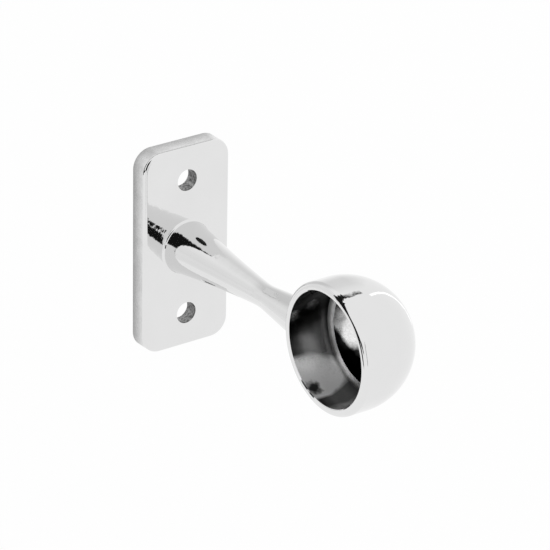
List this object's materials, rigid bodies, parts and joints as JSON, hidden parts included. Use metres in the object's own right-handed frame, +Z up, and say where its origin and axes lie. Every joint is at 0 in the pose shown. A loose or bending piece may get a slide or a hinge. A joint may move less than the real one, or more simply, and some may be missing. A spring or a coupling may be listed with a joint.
{
  "type": "pole end bracket",
  "caption": "One-piece cast end bracket: flat screw-on wall plate, waisted round arm and a domed cup that holds the end of a curtain or wardrobe pole.",
  "frame": {"origin": "centre of the wall plate's back face", "axes": "+Y into the wall, +Z up, pole along X and pushed in from the -X side"},
  "size_m": [0.0263, 0.0769, 0.0476],
  "materials": {
    "chrome_plate": "bright chromium plating over die-cast zinc"
  },
  "bodies": {
    "root": {"bracket": "chrome_plate"}
  },
  "joints": []
}
